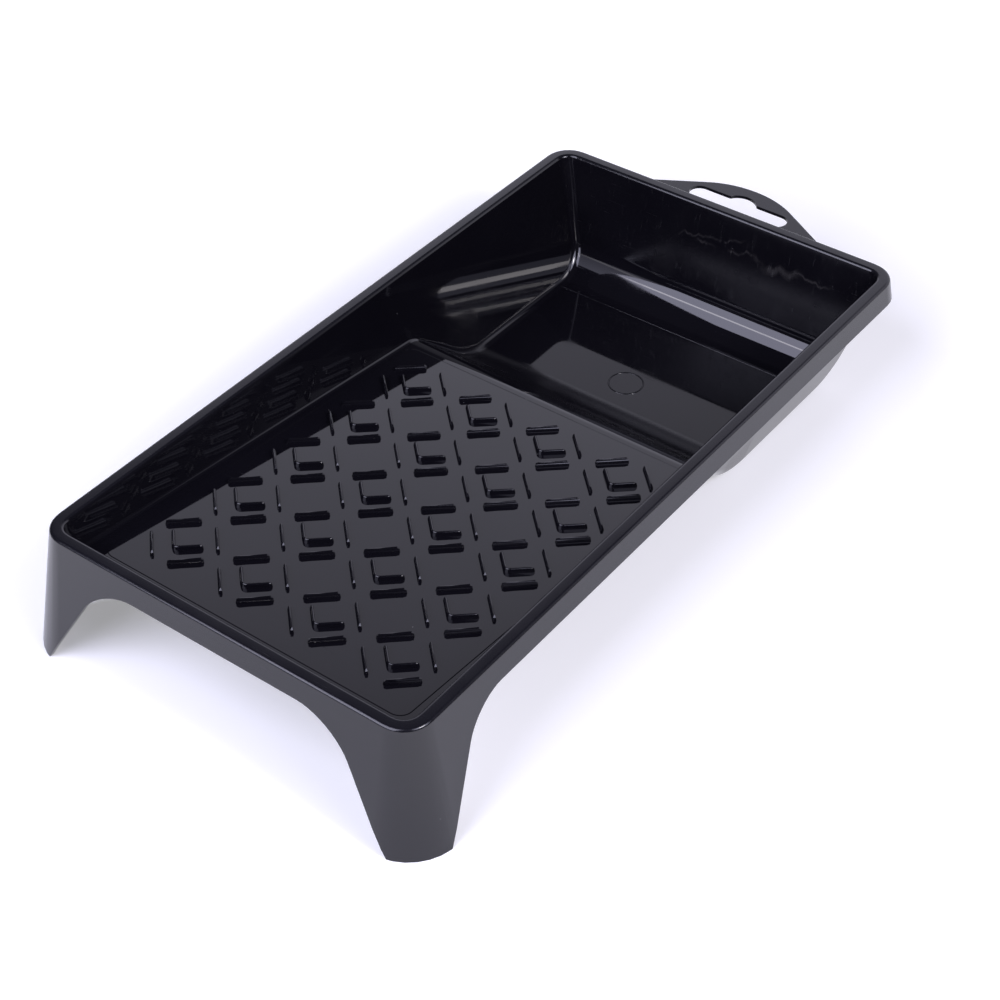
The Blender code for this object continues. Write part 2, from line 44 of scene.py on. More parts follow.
# sizes that several pieces share, in metres from the floor under the tray's middle
tray = {
    "width": 0.150,  # across the rim
    "length": 0.284,
    "height": 0.0473,  # floor to rim top
    "middleY": -0.00743,  # middle of the rim
    "wall": 0.0018,
    "lean": math.tan(math.radians(10.5)),  # draft of the skirt, the legs and the end walls
    "sideLean": math.tan(math.radians(16)),  # of the inside walls on the left and right
    "rimWidth": 0.0047,
    "cornerRadius": 0.010,
    "skirtDepth": 0.0081,
    "rampDrop": 0.0105,  # ramp plane under the rim's front edge
    "rampAngle": math.radians(4.68),
    "stepAngle": math.radians(41),
    "crestY": 0.0320,  # ramp plane meets the step, from the rim's middle
}
touch = 0.00001  # points nearer than this count as one place
rimTop = tray["height"]
halfX = tray["width"] / 2
halfY = tray["length"] / 2
innerX = halfX - tray["rimWidth"]
innerY = halfY - tray["rimWidth"]
skirtEdge = rimTop - tray["skirtDepth"]


def along(y):
    return y + tray["middleY"]


def rampHeight(y):
    return rimTop - tray["rampDrop"] - math.tan(tray["rampAngle"]) * (y + halfY)


# small helpers for working in edit mode

def makeActive(piece):
    if bpy.context.mode != "OBJECT":
        bpy.ops.object.mode_set(mode="OBJECT")
    bpy.ops.object.select_all(action="DESELECT")
    piece.select_set(True)
    bpy.context.view_layer.objects.active = piece


def editPiece(piece):
    makeActive(piece)
    bpy.ops.object.mode_set(mode="EDIT")


def leaveEdit():
    bpy.ops.object.mode_set(mode="OBJECT")


def pick(piece, kind, test):
    bpy.ops.mesh.select_mode(type=kind)
    bpy.ops.mesh.select_all(action="DESELECT")
    shape = bmesh.from_edit_mesh(piece.data)
    found = 0
    for part in {"VERT": shape.verts, "EDGE": shape.edges, "FACE": shape.faces}[kind]:
        if test(part):
            part.select_set(True)
            found += 1
    shape.select_flush_mode()
    bmesh.update_edit_mesh(piece.data)
    return found


def pickAll(kind="FACE"):
    bpy.ops.mesh.select_mode(type=kind)
    bpy.ops.mesh.select_all(action="SELECT")


def startPiece(name, addPrimitive, **settings):
    bpy.ops.object.select_all(action="DESELECT")
    addPrimitive(**settings)
    piece = bpy.context.object
    piece.name = name
    return piece


def applyPlace():
    bpy.ops.object.transform_apply(location=True, rotation=True, scale=True)


def layOnRamp(piece, y):  # for a piece modelled on the level, its middle at the origin
    makeActive(piece)
    piece.rotation_euler = (-tray["rampAngle"], 0, 0)
    piece.location = (0, along(y), rampHeight(y))
    applyPlace()


def drawOutline(name, points):  # one point, extruded from corner to corner and filled
    piece = startPiece(name, bpy.ops.mesh.primitive_plane_add, size=0.001, location=points[0])
    applyPlace()
    editPiece(piece)
    pickAll("VERT")
    bpy.ops.mesh.merge(type="CENTER")
    for start, end in zip(points, points[1:]):
        step = Vector(end) - Vector(start)
        bpy.ops.mesh.extrude_vertices_move(TRANSFORM_OT_translate={"value": step})
    bpy.ops.mesh.select_all(action="SELECT")
    bpy.ops.mesh.edge_face_add()
    return piece


def roundCorner(piece, point, reach, steps):  # reach is how far the rounding runs along both sides
    spot = Vector(point)
    pick(piece, "VERT", lambda v: (v.co - spot).length < touch)
    bpy.ops.mesh.bevel(offset=reach, segments=steps, affect="VERTICES")


def thicken(vector):  # pulls the drawn outline into a solid
    pickAll()
    bpy.ops.mesh.extrude_region_move(TRANSFORM_OT_translate={"value": vector})
    pickAll()
    bpy.ops.mesh.normals_make_consistent(inside=False)


def applyModifier(piece, kind, **settings):
    makeActive(piece)
    modifier = piece.modifiers.new(kind.title(), kind)
    for setting, value in settings.items():
        setattr(modifier, setting, value)
    bpy.ops.object.modifier_apply(modifier=modifier.name)


def smooth(piece):
    makeActive(piece)
    bpy.ops.object.shade_smooth_by_angle(angle=math.radians(35))
    applyModifier(piece, "WEIGHTED_NORMAL", keep_sharp=True)


def cutWith(piece, cutter):
    applyModifier(piece, "BOOLEAN", operation="DIFFERENCE", solver="EXACT", object=cutter)
    bpy.data.objects.remove(cutter, do_unlink=True)


# materials: one black plastic, polished inside the tray and satin outside

def addNode(tree, kind, values=None):
    made = tree.nodes.new("ShaderNode" + kind)
    for label, value in (values or {}).items():
        made.inputs[label].default_value = value
    return made


def mask(tree, source, low, high):  # 0 below low, 1 above high
    made = addNode(tree, "MapRange", {"From Min": low, "From Max": high})
    tree.links.new(source, made.inputs["Value"])
    return made.outputs["Result"]


def math2(tree, operation, first, second):
    made = tree.nodes.new("ShaderNodeMath")
    made.operation = operation
    for socket, value in zip(made.inputs, (first, second)):
        if isinstance(value, (int, float)):
            socket.default_value = value
        else:
            tree.links.new(value, socket)
    return made.outputs["Value"]


def blend(tree, factor, first, second):  # mixes two colours, each given or linked
    made = tree.nodes.new("ShaderNodeMix")
    made.data_type = "RGBA"
    tree.links.new(factor, made.inputs["Factor"])
    for label, value in (("A", first), ("B", second)):
        if isinstance(value, tuple):
            made.inputs[label].default_value = (*value, 1)
        else:
            tree.links.new(value, made.inputs[label])
    return made.outputs["Result"]


def noise(tree, place, scale, detail, stretch=(1, 1, 1), turn=(0, 0, 0), swirl=0):
    mapping = addNode(tree, "Mapping", {"Rotation": turn, "Scale": stretch})
    tree.links.new(place, mapping.inputs["Vector"])
    made = addNode(tree, "TexNoise", {"Scale": scale, "Detail": detail, "Distortion": swirl})
    tree.links.new(mapping.outputs["Vector"], made.inputs["Vector"])
    return made.outputs["Fac"]


marksOfUse = {  # limits are where a pattern starts to show and where it shows fully
    "scratchTurns": ((0.2, 0.1, 0.5), (1.2, 0.3, 1.9), (0.4, 1.3, 2.7)),
    "scratchScale": 60,
    "scratchStretch": (1, 28, 28),
    "scratchLimits": (0.67, 0.75),
    "patchScale": 19,  # the scratches come in patches
    "patchLimits": (0.48, 0.66),
    "dustScale": 210,
    "speckSize": 0.035,
    "speckChance": 0.86,  # a cell of the pattern holds a speck above it
    "smearScale": 26,
    "smearLimits": (0.5, 0.72),
    "smearSwirl": 1.6,
    "waveScale": 24,
}


def makeMarksGroup():  # values only: fine scratches, dust specks, smears and the moulding's slight waves
    group = bpy.data.node_groups.new("handling marks", "ShaderNodeTree")
    for label in ("Scratches", "Dust", "Smears", "Waves"):
        group.interface.new_socket(label, in_out="OUTPUT", socket_type="NodeSocketFloat")
    output = group.nodes.new("NodeGroupOutput")
    place = addNode(group, "TexCoord").outputs["Object"]
    patches = mask(group, noise(group, place, marksOfUse["patchScale"], 2), *marksOfUse["patchLimits"])
    scratches = 0
    for turn in marksOfUse["scratchTurns"]:
        streaks = noise(group, place, marksOfUse["scratchScale"], 3, marksOfUse["scratchStretch"], turn)
        scratches = math2(group, "ADD", scratches, mask(group, streaks, *marksOfUse["scratchLimits"]))
    scratches = math2(group, "MULTIPLY", scratches, patches)
    cells = addNode(group, "TexVoronoi", {"Scale": marksOfUse["dustScale"]})
    group.links.new(place, cells.inputs["Vector"])
    chance = addNode(group, "SeparateColor")
    group.links.new(cells.outputs["Color"], chance.inputs["Color"])
    speck = math2(group, "LESS_THAN", cells.outputs["Distance"], marksOfUse["speckSize"])
    chosen = math2(group, "GREATER_THAN", chance.outputs["Red"], marksOfUse["speckChance"])
    dust = math2(group, "MULTIPLY", speck, chosen)
    smears = noise(group, place, marksOfUse["smearScale"], 5, swirl=marksOfUse["smearSwirl"])
    smears = mask(group, smears, *marksOfUse["smearLimits"])
    waves = noise(group, place, marksOfUse["waveScale"], 1)
    for label, value in (("Scratches", scratches), ("Dust", dust), ("Smears", smears), ("Waves", waves)):
        group.links.new(value, output.inputs[label])
    return group


# the duller back wall and foot of the step are roughness; the lines are light painted into the back wall's
# colour, a painted reflection
wellDullingAndPaintedLines = {  # stretches along the tray are measured from the rim's middle
    "wallFrom": (0.124, 0.128),  # the back wall
    "wallAbove": (0.013, 0.019),
    "wallDull": 0.10,
    "footFrom": (0.044, 0.050),  # the foot of the step
    "footTo": (0.0645, 0.0675),
    "footBelow": (0.014, 0.020),
    "footDull": 0.17,
    # the light lines painted on the back wall, a painted reflection
    "lines": (  # height at the middle, slope, half width, start and end across the tray
        (0.0363, 0.196, 0.0007, -0.0155, 0.0150),
        (0.0333, 0.02, 0.0008, -0.0080, 0.0530),
        (0.0318, 0.05, 0.0022, 0.0160, 0.0400),
    ),
    "lineFades": (0.003, 0.006),  # lengths of a line's two weak ends
    "wobble": 0.016,
    "wobbleScale": 95,
    "breakScale": 130,  # the lines are broken up
    "breakLimits": (0.4, 0.6),
    "streakScale": 75,
    "streakStretch": (12, 12, 0.5),
    "streakLimits": (0.58, 0.74),
    "streakRough": 0.16,
}


def dullingAndPaintedLinesOfWell(tree, place):  # the duller back wall and foot of the step, thin wavering light lines painted into the colour as a painted reflection, and upright scratches
    parts = addNode(tree, "SeparateXYZ")
    tree.links.new(place, parts.inputs["Vector"])
    across, depth, height = (parts.outputs[axis] for axis in "XYZ")
    wall = mask(tree, depth, *map(along, wellDullingAndPaintedLines["wallFrom"]))
    wall = math2(tree, "MULTIPLY", wall, mask(tree, height, *wellDullingAndPaintedLines["wallAbove"]))
    foot = mask(tree, depth, *map(along, wellDullingAndPaintedLines["footFrom"]))
    foot = math2(tree, "MULTIPLY", foot, mask(tree, height, *reversed(wellDullingAndPaintedLines["footBelow"])))
    foot = math2(tree, "MULTIPLY", foot, mask(tree, depth, *map(along, reversed(wellDullingAndPaintedLines["footTo"]))))
    wallDull = math2(tree, "MULTIPLY", wall, wellDullingAndPaintedLines["wallDull"])
    dull = math2(tree, "ADD", wallDull, math2(tree, "MULTIPLY", foot, wellDullingAndPaintedLines["footDull"]))
    wobble = math2(tree, "SUBTRACT", noise(tree, place, wellDullingAndPaintedLines["wobbleScale"], 3, stretch=(1, 0, 0)), 0.5)
    wobble = math2(tree, "MULTIPLY", wobble, wellDullingAndPaintedLines["wobble"])
    fadeIn, fadeOut = wellDullingAndPaintedLines["lineFades"]
    lines = 0
    for level, slope, width, start, end in wellDullingAndPaintedLines["lines"]:
        middle = math2(tree, "ADD", math2(tree, "MULTIPLY", across, slope), level)
        off = math2(tree, "SUBTRACT", height, math2(tree, "ADD", middle, wobble))
        line = math2(tree, "SUBTRACT", 1, mask(tree, math2(tree, "ABSOLUTE", off, 0), 0, width))
        line = math2(tree, "MULTIPLY", line, mask(tree, across, start, start + fadeIn))
        line = math2(tree, "MULTIPLY", line, mask(tree, across, end, end - fadeOut))
        lines = math2(tree, "MAXIMUM", lines, line)
    streaks = noise(tree, place, wellDullingAndPaintedLines["streakScale"], 2, wellDullingAndPaintedLines["streakStretch"])
    streaks = mask(tree, streaks, *wellDullingAndPaintedLines["streakLimits"])
    breaks = mask(tree, noise(tree, place, wellDullingAndPaintedLines["breakScale"], 4), *wellDullingAndPaintedLines["breakLimits"])
    lines = math2(tree, "MULTIPLY", lines, math2(tree, "ADD", streaks, breaks))
    return dull, math2(tree, "MULTIPLY", lines, wall), math2(tree, "MULTIPLY", streaks, wall)


def blackPlastic(name, look, marksGroup):
    material = bpy.data.materials.new(name)
    material.use_nodes = True
    tree = material.node_tree
    shader = tree.nodes["Principled BSDF"]
    shader.inputs["IOR"].default_value = look["ior"]
    used = tree.nodes.new("ShaderNodeGroup")
    used.node_tree = marksGroup
    place = addNode(tree, "TexCoord").outputs["Object"]
    tone = blend(tree, noise(tree, place, look["toneScale"], 4), look["dark"], look["light"])
    rough = math2(tree, "MULTIPLY", used.outputs["Smears"], look["smear"])
    if "paintedLineColour" in look:
        dull, lines, streaks = dullingAndPaintedLinesOfWell(tree, place)
        # painted reflection: thin light lines blended into the base colour of the back wall
        tone = blend(tree, math2(tree, "MINIMUM", lines, 1), tone, look["paintedLineColour"])
        rough = math2(tree, "ADD", rough, dull)
        rough = math2(tree, "ADD", rough, math2(tree, "MULTIPLY", streaks, wellDullingAndPaintedLines["streakRough"]))
    tree.links.new(blend(tree, used.outputs["Dust"], tone, look["dust"]), shader.inputs["Base Color"])
    rough = math2(tree, "ADD", rough, math2(tree, "MULTIPLY", used.outputs["Scratches"], look["scratch"]))
    rough = math2(tree, "ADD", rough, look["rough"])
    tree.links.new(rough, shader.inputs["Roughness"])
    waves = addNode(tree, "Bump", {"Strength": 1, "Distance": look["wave"]})
    tree.links.new(used.outputs["Waves"], waves.inputs["Height"])
    grain = addNode(tree, "Bump", {"Strength": 1, "Distance": look["grain"]})
    tree.links.new(noise(tree, place, look["grainScale"], 2), grain.inputs["Height"])
    tree.links.new(waves.outputs["Normal"], grain.inputs["Normal"])
    tree.links.new(grain.outputs["Normal"], shader.inputs["Normal"])
    return material


glossLook = {
    "dark": (0.0028, 0.0026, 0.0040),
    "light": (0.0044, 0.0041, 0.0060),
    "toneScale": 45,
    "paintedLineColour": (0.022, 0.021, 0.022),  # colour of the light lines painted on the well's back wall, a painted reflection
    "ior": 1.48,
    "dust": (0.10, 0.10, 0.10),
    "rough": 0.035,
    "smear": 0.05,
    "scratch": 0.22,
    "wave": 0.00003,
    "grain": 0.0000006,
    "grainScale": 900,
}
satinLook = {
    "dark": (0.0045, 0.0044, 0.0062),
    "light": (0.0075, 0.0073, 0.0098),
    "toneScale": 45,
    "ior": 1.48,
    "dust": (0.12, 0.12, 0.12),
    "rough": 0.19,
    "smear": 0.06,
    "scratch": 0.10,
    "wave": 0.00002,
    "grain": 0.000008,
    "grainScale": 2600,
}
marksGroup = makeMarksGroup()
gloss = blackPlastic("polished black plastic", glossLook, marksGroup)
satin = blackPlastic("satin black plastic", satinLook, marksGroup)
print("materials made")


# tub: the side profile pulled across the tray, its two sides sliced to the draft

tub = {
    "lip": 0.0027,  # top of the tub under the rim top
    "frontRound": 0.0029,
    "frontSteps": 5,
    "crestRadius": 0.011,
    "crestSteps": 8,
    "footRadius": 0.027,
    "footSteps": 10,
    "backRadius": 0.015,
    "backReach": 0.83,  # of the rounding over its radius
    "backSteps": 14,
    "frontShares": (0, 0.2, 0.4, 0.6),  # extra points down the front wall, down the step and up the back wall
    "stepShares": (0, 0.2, 0.3, 0.4, 0.5, 0.6),
    "backShares": (0.4, 0.55, 0.7, 0.85, 1),
    "sideRound": 0.0053,  # upright corners
    "sideSteps": 8,
    "rampShare": 0.19,  # of that rounding along the ramp
    "wellShare": 0.5,  # and round the well
    "frontGrows": (0.0396, 0.0451),  # heights or places between which it changes
    "stepGrows": (0.0372, 0.0465),
    "backGrows": (0.0190, 0.0440),
    "backFrom": 0.1,  # from the rim's middle
}


def makeTub():
    lean = tray["lean"]
    top = rimTop - tub["lip"]
    floor = tray["wall"]
    frontTop = (-innerY + tub["lip"] * lean, top)
    backTop = (innerY - tub["lip"] * lean, top)
    ramp = math.tan(tray["rampAngle"])
    frontDepth = (tray["rampDrop"] + ramp * tray["rimWidth"]) / (1 - ramp * lean)
    frontLow = (-innerY + frontDepth * lean, rimTop - frontDepth)
    crest = (tray["crestY"], rampHeight(tray["crestY"]))
    foot = (crest[0] + (crest[1] - floor) / math.tan(tray["stepAngle"]), floor)
    backLow = (innerY - (rimTop - floor) * lean, floor)
    corners = [(halfX, along(y), z) for y, z in (frontTop, frontLow, crest, foot, backLow, backTop)]
    profile = [Vector(corners[0]).lerp(corners[1], share) for share in tub["frontShares"]] + corners[1:2]
    profile += [Vector(corners[2]).lerp(corners[3], share) for share in tub["stepShares"]] + corners[3:5]
    profile += [Vector(corners[4]).lerp(corners[5], share) for share in tub["backShares"]]
    piece = drawOutline("tray_body", profile)
    turn = (tray["stepAngle"] - tray["rampAngle"]) / 2
    roundCorner(piece, corners[1], tub["frontRound"], tub["frontSteps"])
    roundCorner(piece, corners[2], tub["crestRadius"] * math.tan(turn), tub["crestSteps"])
    roundCorner(piece, corners[3], tub["footRadius"] * math.tan(tray["stepAngle"] / 2), tub["footSteps"])
    roundCorner(piece, corners[4], tub["backRadius"] * tub["backReach"], tub["backSteps"])
    thicken((-tray["width"], 0, 0))
    for sign in (-1, 1):
        pickAll()
        bpy.ops.mesh.bisect(
            plane_co=(sign * innerX, 0, rimTop), plane_no=(sign, 0, -tray["sideLean"]),
            use_fill=True, clear_outer=True,
        )
    weighSideEdges(piece, top)
    leaveEdit()
    applyModifier(
        piece, "BEVEL", limit_method="WEIGHT", width=tub["sideRound"], segments=tub["sideSteps"],
        use_clamp_overlap=False,
    )
    editPiece(piece)
    pick(piece, "FACE", lambda f: f.calc_center_median().z > top - touch)
    bpy.ops.mesh.delete(type="FACE")
    pickAll()
    bpy.ops.mesh.flip_normals()
    leaveEdit()
    piece.data.materials.append(gloss)
    return piece


def weighSideEdges(piece, top):  # the edges round the two sliced sides, but for their open top
    shape = bmesh.from_edit_mesh(piece.data)
    weight = shape.edges.layers.float.new("bevel_weight_edge")
    for edge in shape.edges:
        a, b = (v.co for v in edge.verts)
        onSide = all(abs(abs(p.x) - innerX - (p.z - rimTop) * tray["sideLean"]) < touch for p in (a, b))
        if onSide and a.x * b.x > 0 and not (a.z > top - touch and b.z > top - touch):
            edge[weight] = sideRounding((a + b) / 2)
    bmesh.update_edit_mesh(piece.data)


def sideRounding(place):  # grows only on straight stretches: the front corners, the step and the back corners
    y = place.y - tray["middleY"]
    ramp, well = tub["rampShare"], tub["wellShare"]
    if y < 0:
        return ramp + (1 - ramp) * grown(place.z, *tub["frontGrows"])
    if y < tub["backFrom"]:
        return ramp + (well - ramp) * grown(y, *tub["stepGrows"])
    return well + (1 - well) * grown(place.z, *tub["backGrows"])


def grown(value, start, end):
    return min(max((value - start) / (end - start), 0), 1)


# rim, skirt and legs: a leaning shell from the feet up to the rim

shell = {
    "cornerSteps": 8,
    "rimOuter": 0.0010,
    "outerSteps": 5,
    "rimInner": 0.0011,
    "innerSteps": 6,
    "legFront": (0.0469, 0.595, 0.0135),  # leg edge at the skirt, its slope, the blend's reach
    "legSide": (0.1132, 0.557, 0.0118),
    "blendSteps": 10,
    "footHeight": 0.0006,  # points of the legs this low are set level with the floor
    "footAway": 0.2,  # and at least this far out, both ways added up
}
openings = {  # between the legs and under the skirt, cut by solids that reach past the shell
    "low": -0.010,
    "depth": 0.030,
    "frontY": -0.140,
    "sideX": 0.0713,
    "sideEnd": 0.180,
    "backX": 0.085,
    "backY": 0.1383,
}


def makeShell():
    flare = rimTop * tray["lean"]
    piece = startPiece("rim_shell", bpy.ops.mesh.primitive_plane_add, size=1, location=(0, along(0), 0))
    piece.scale = (tray["width"] + 2 * flare, tray["length"] + 2 * flare, 1)
    applyPlace()
    editPiece(piece)
    pickAll("VERT")
    bpy.ops.mesh.bevel(offset=tray["cornerRadius"] + flare, segments=shell["cornerSteps"], affect="VERTICES")
    pickAll()
    bpy.ops.mesh.inset(thickness=flare, depth=rimTop, use_boundary=True, use_even_offset=True)
    bpy.ops.mesh.inset(thickness=tray["rimWidth"], depth=0, use_boundary=True, use_even_offset=True)
    bpy.ops.mesh.delete(type="ONLY_FACE")
    leaveEdit()
    piece.data.materials.append(satin)
    return piece


def joinBody(body, rim):
    lipLevel = rimTop - tub["lip"]
    makeActive(body)
    rim.select_set(True)
    bpy.ops.object.join()
    editPiece(body)
    openEdge = lambda e: len(e.link_faces) == 1 and min(v.co.z for v in e.verts) > lipLevel - 10 * touch
    found = pick(body, "EDGE", openEdge)
    print("rim and tub loops:", found, "edges")
    bpy.ops.mesh.bridge_edge_loops()
    leaveEdit()


def legCutters():
    low, depth, steps = openings["low"], openings["depth"], shell["blendSteps"]
    x, slope, reach = shell["legFront"]
    spread = x + slope * (skirtEdge - low)
    points = [(-spread, low), (-x, skirtEdge), (x, skirtEdge), (spread, low)]
    spots = [(px, along(openings["frontY"]), pz) for px, pz in points]
    front = drawOutline("front_arch", spots)
    for spot in spots[1:3]:
        roundCorner(front, spot, reach, steps)
    thicken((0, -depth, 0))
    leaveEdit()
    cutters = [front]
    y, slope, reach = shell["legSide"]
    end = openings["sideEnd"]
    points = [(-y - slope * (skirtEdge - low), low), (-y, skirtEdge), (end, skirtEdge), (end, low)]
    for sign in (-1, 1):
        spots = [(sign * openings["sideX"], along(py), pz) for py, pz in points]
        side = drawOutline("side_opening", spots)
        roundCorner(side, spots[1], reach, steps)
        thicken((sign * depth, 0, 0))
        leaveEdit()
        cutters.append(side)
    wide = openings["backX"]
    points = [(-wide, low), (-wide, skirtEdge), (wide, skirtEdge), (wide, low)]
    back = drawOutline("back_opening", [(px, along(openings["backY"]), pz) for px, pz in points])
    thicken((0, depth, 0))
    leaveEdit()
    return cutters + [back]


def onTop(edge):
    return min(v.co.z for v in edge.verts) > rimTop - touch


def onRim(edge):  # the outer of the rim's two edges; the corners are nearer to the middle on the inner one
    x, y = abs(edge.verts[0].co.x), abs(edge.verts[0].co.y - along(0))
    reach = tray["cornerRadius"]
    away = Vector((max(x - halfX + reach, 0), max(y - halfY + reach, 0))).length
    return away > reach - tray["rimWidth"] / 2


def finishBody(body):
    applyModifier(body, "SOLIDIFY", thickness=tray["wall"], offset=-1, use_even_offset=True, use_rim=True)
    editPiece(body)
    outwards = lambda p: abs(p.x) + abs(p.y - along(0))
    pick(body, "VERT", lambda v: v.co.z < shell["footHeight"] and outwards(v.co) > shell["footAway"])
    bpy.ops.transform.resize(value=(1, 1, 0), center_override=(0, 0, 0))
    leaveEdit()
    for cutter in legCutters():
        cutWith(body, cutter)
    editPiece(body)
    pickAll("VERT")
    bpy.ops.mesh.remove_doubles(threshold=0.1 * touch)
    rimEdge = lambda e: onTop(e) and sum(f.normal.z > 0.99 for f in e.link_faces) == 1
    found = pick(body, "EDGE", lambda e: rimEdge(e) and onRim(e))
    bpy.ops.mesh.bevel(offset=shell["rimOuter"], segments=shell["outerSteps"])
    found += pick(body, "EDGE", lambda e: rimEdge(e) and not onRim(e))
    bpy.ops.mesh.bevel(offset=shell["rimInner"], segments=shell["innerSteps"])
    pickAll()
    bpy.ops.mesh.normals_make_consistent(inside=False)
    leaveEdit()
    smooth(body)
    print("legs cut,", found, "rim edges rounded")


# ribs: one straight and one bent, modelled on a level ramp, copied over it and tilted with it

ribs = {
    "pitch": 0.0293,
    "rows": 5,
    "columns": 4,
    "middleY": -0.0509,  # middle of the pattern, from the rim's middle
    "length": 0.0120,  # at the sunk root, as the thickness
    "thickness": 0.0015,
    "height": 0.0019,
    "root": 0.0005,  # sunk into the ramp
    "taper": 0.0003,
    "corner": 0.0035,  # bent rib, off the middle of its group
    "reach": 0.0060,
    "bend": 0.0016,
    "endRound": 0.0010,  # the ends seen from the side
    "topRound": 0.00042,
    "roundSteps": 3,
    "bendSteps": 4,
}


def makeRib(name, outline, bends, isEnd):
    low = -ribs["root"]
    piece = drawOutline(name, [(x, y, low) for x, y in outline])
    for index, reach, steps in bends:
        roundCorner(piece, (*outline[index], low), reach, steps)
    if pick(piece, "FACE", lambda f: f.normal.z < 0):
        bpy.ops.mesh.flip_normals()
    pickAll()
    bpy.ops.mesh.inset(thickness=ribs["taper"], depth=ribs["height"] + ribs["root"], use_boundary=True)
    pick(piece, "EDGE", lambda e: all(isEnd(v.co) and v.co.z > 0 for v in e.verts))
    bpy.ops.mesh.bevel(offset=ribs["endRound"], segments=ribs["roundSteps"])
    flank = lambda f: f.normal.z < 0.2 and not isEnd(f.calc_center_median())
    aboveRoot = lambda e: max(v.co.z for v in e.verts) > low + touch
    pick(piece, "EDGE", lambda e: sum(flank(f) for f in e.link_faces) == 1 and aboveRoot(e))
    bpy.ops.mesh.bevel(offset=ribs["topRound"], segments=ribs["roundSteps"])
    leaveEdit()
    return piece


def copyTo(piece, x, y, turn):
    copy = piece.copy()
    copy.data = piece.data.copy()
    copy.location = (x, y, 0)
    copy.rotation_euler = (0, 0, turn)
    scene.collection.objects.link(copy)
    return copy


def makeRibs():
    half, thin, taper = ribs["length"] / 2, ribs["thickness"] / 2, ribs["taper"]
    box = [(-half, -thin), (half, -thin), (half, thin), (-half, thin)]
    straight = makeRib("straight_rib", box, [], lambda p: abs(p.x) > half - taper - touch)
    near, far, reach = -ribs["corner"] - thin, -ribs["corner"] + thin, ribs["reach"]
    bent = [(near, near), (reach, near), (reach, far), (far, far), (far, reach), (near, reach)]
    bends = [(0, ribs["bend"] + thin, ribs["bendSteps"]), (3, ribs["bend"] - thin, ribs["bendSteps"])]
    angle = makeRib("bent_rib", bent, bends, lambda p: max(p.x, p.y) > reach - taper - touch)
    quarter = ribs["pitch"] / 4
    eighth = math.radians(45)
    group = [(1, -1, eighth), (-1, 1, eighth), (-1, -1, 3 * eighth), (1, 1, 3 * eighth)]
    copies = []
    for row in range(ribs["rows"]):
        for column in range(ribs["columns"]):
            x = (column - (ribs["columns"] - 1) / 2) * ribs["pitch"]
            y = (row - (ribs["rows"] - 1) / 2) * ribs["pitch"]
            copies.append(copyTo(angle, x, y, eighth))
            copies += [copyTo(straight, x + quarter * i, y + quarter * j, turn) for i, j, turn in group]
    for model in (straight, angle):
        bpy.data.objects.remove(model, do_unlink=True)
    makeActive(copies[0])
    for copy in copies:
        copy.select_set(True)
    applyPlace()
    bpy.ops.object.join()
    piece = bpy.context.object
    piece.name = "ramp_ribs"
    layOnRamp(piece, ribs["middleY"])
    piece.data.materials.append(gloss)
    smooth(piece)
    print(len(copies), "ribs on the ramp")
    return piece


# hanging tab: a triangle with a round far end, its slot cut through

tab = {
    "drop": 0.0057,  # top of the tab under the rim top
    "thickness": 0.0012,
    "root": 0.1424,  # sunk into the back skirt
    "apex": 0.17107,
    "flank": math.radians(31),
    "round": 0.02223,
    "roundSteps": 24,
    "roundProfile": 0.534,
    "slot": (0.0213, 0.0042, 0.1523),  # half length, half height, middle
    "slotRound": 0.999,  # of its half height
    "slotSteps": 8,
    "hump": (0.007, 0.1527),  # radius and middle
    "humpSides": 40,
    "humpRound": 0.0008,  # where the hump leaves the slot
    "humpSteps": 4,
    "humpEnds": (0.004, 0.007),  # how far out those corners are looked for
    "cutter": 0.015,  # height of the cutting solids
    "cutterTop": 0.005,  # over the tab
    "edge": 0.0003,
    "edgeSteps": 2,
    "edgeAngle": math.radians(50),
}


def makeTab():
    top = rimTop - tab["drop"]
    foot = (tab["apex"] - tab["root"]) / math.tan(tab["flank"])
    outline = [(-foot, along(tab["root"]), top), (foot, along(tab["root"]), top), (0, along(tab["apex"]), top)]
    piece = drawOutline("hang_tab_piece", outline)
    pick(piece, "VERT", lambda v: v.co.y > along(tab["apex"]) - touch)
    bpy.ops.mesh.bevel(
        offset=tab["round"], segments=tab["roundSteps"], affect="VERTICES", profile=tab["roundProfile"],
    )
    thicken((0, 0, -tab["thickness"]))
    leaveEdit()
    length, height, middle = tab["slot"]
    signs = ((-1, -1), (1, -1), (1, 1), (-1, 1))
    corners = [(i * length, along(middle + j * height), top + tab["cutterTop"]) for i, j in signs]
    slot = drawOutline("slot", corners)
    for corner in corners:
        roundCorner(slot, corner, height * tab["slotRound"], tab["slotSteps"])
    thicken((0, 0, -tab["cutter"]))
    leaveEdit()
    cutWith(piece, slot)
    slotTop = along(middle + height)
    radius, middle = tab["hump"]
    hump = startPiece(
        "hump", bpy.ops.mesh.primitive_cylinder_add,
        vertices=tab["humpSides"], radius=radius, depth=tab["cutter"], location=(0, along(middle), top),
    )
    cutWith(piece, hump)
    editPiece(piece)
    nearest, farthest = tab["humpEnds"]
    upright = lambda e: abs(e.verts[0].co.z - e.verts[1].co.z) > tab["thickness"] / 2
    inHump = lambda p: abs(p.y - slotTop) < 2 * touch and nearest < abs(p.x) < farthest
    pick(piece, "EDGE", lambda e: upright(e) and all(inHump(v.co) for v in e.verts))
    bpy.ops.mesh.bevel(offset=tab["humpRound"], segments=tab["humpSteps"])
    leaveEdit()
    applyModifier(
        piece, "BEVEL", limit_method="ANGLE", angle_limit=tab["edgeAngle"],
        width=tab["edge"], segments=tab["edgeSteps"],
    )
    piece.data.materials.append(satin)
    smooth(piece)
    print("hanging tab with its slot")
    return piece


